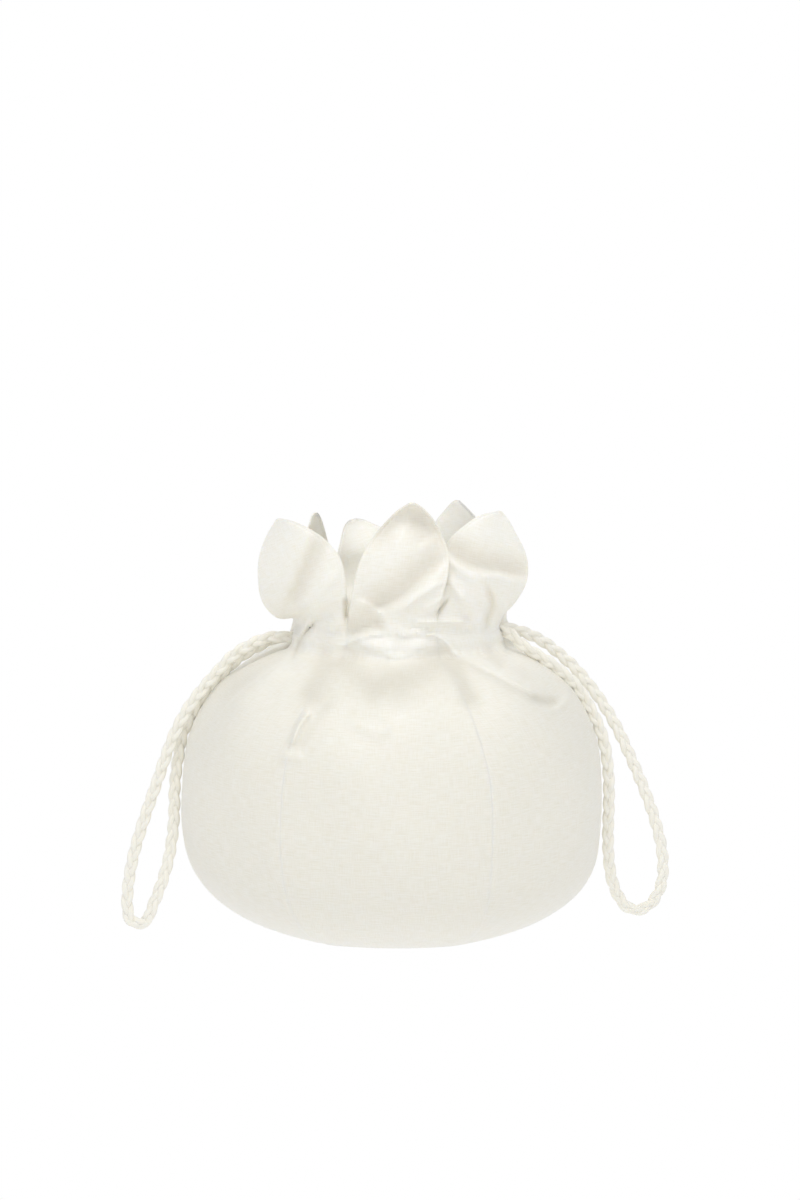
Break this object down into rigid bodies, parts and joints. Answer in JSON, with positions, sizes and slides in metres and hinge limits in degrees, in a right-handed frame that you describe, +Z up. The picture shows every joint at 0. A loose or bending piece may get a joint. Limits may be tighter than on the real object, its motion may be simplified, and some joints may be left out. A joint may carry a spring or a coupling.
{
  "type": "clutch bag",
  "caption": "Round satin drawstring clutch bag of gored panels that end in petals above a gathered neck, with a braided loop at each side to pull it shut.",
  "frame": {"origin": "middle of the underside of the panels and casing, on the flat base", "axes": "+Z up through the gathered neck, -Y the front with the middle petal, +X to the right as seen from the front"},
  "size_m": [0.2755, 0.2104, 0.2196],
  "materials": {
    "satin": "soft satin",
    "braid": "braided satin"
  },
  "bodies": {
    "root": {"panel_front_left": "satin", "panel_front": "satin", "panel_front_right": "satin", "panel_back_right": "satin", "panel_back": "satin", "panel_back_left": "satin", "casing": "satin", "cord_left": "braid", "cord_right": "braid"}
  },
  "joints": []
}
